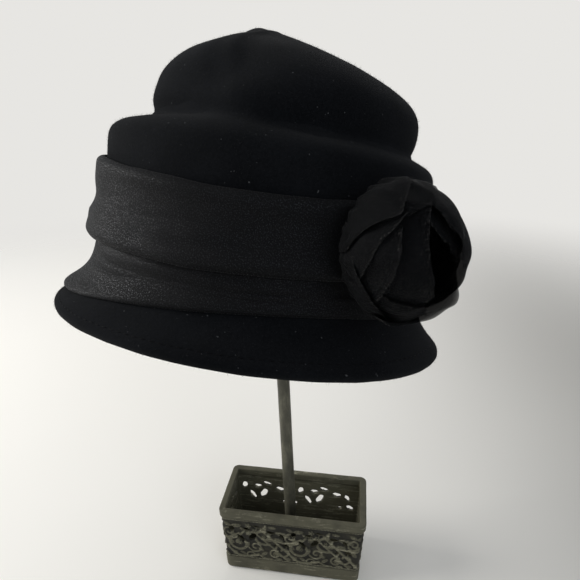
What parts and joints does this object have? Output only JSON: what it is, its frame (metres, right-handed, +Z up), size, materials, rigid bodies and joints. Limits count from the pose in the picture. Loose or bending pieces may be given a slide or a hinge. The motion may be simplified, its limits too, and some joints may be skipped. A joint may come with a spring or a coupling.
{
  "type": "cloche hat on a display stand",
  "caption": "Draped felt cloche with a small down-turned brim, a two-fold cloth band and a gathered cloth rose, held up under its peak by a rod on a pierced cast tray.",
  "frame": {"origin": "centre of the stand tray's flat underside", "axes": "+Z up, +X along the tray's long side towards the wearer's right, -Y towards the rose and the hat's forward side"},
  "size_m": [0.2164, 0.194, 0.3608],
  "materials": {
    "felt": "matt black wool felt",
    "band_cloth": "black crepe with a soft sheen",
    "rose_cloth": "black chiffon",
    "casting": "worn dark grey-green patina",
    "rod_metal": "worn dark grey-green patina, smooth"
  },
  "bodies": {
    "root": {"stand_tray": "casting", "stand_rod": "rod_metal", "stand_cap": "rod_metal", "felt_hood": "felt", "band_upper_fold": "band_cloth", "band_lower_fold": "band_cloth", "rose_heart": "rose_cloth", "rose_petal_1": "rose_cloth", "rose_petal_2": "rose_cloth", "rose_petal_3": "rose_cloth", "rose_petal_4": "rose_cloth", "rose_petal_5": "rose_cloth", "rose_petal_6": "rose_cloth", "rose_petal_7": "rose_cloth", "rose_petal_8": "rose_cloth", "rose_petal_9": "rose_cloth", "rose_petal_10": "rose_cloth"}
  },
  "joints": []
}
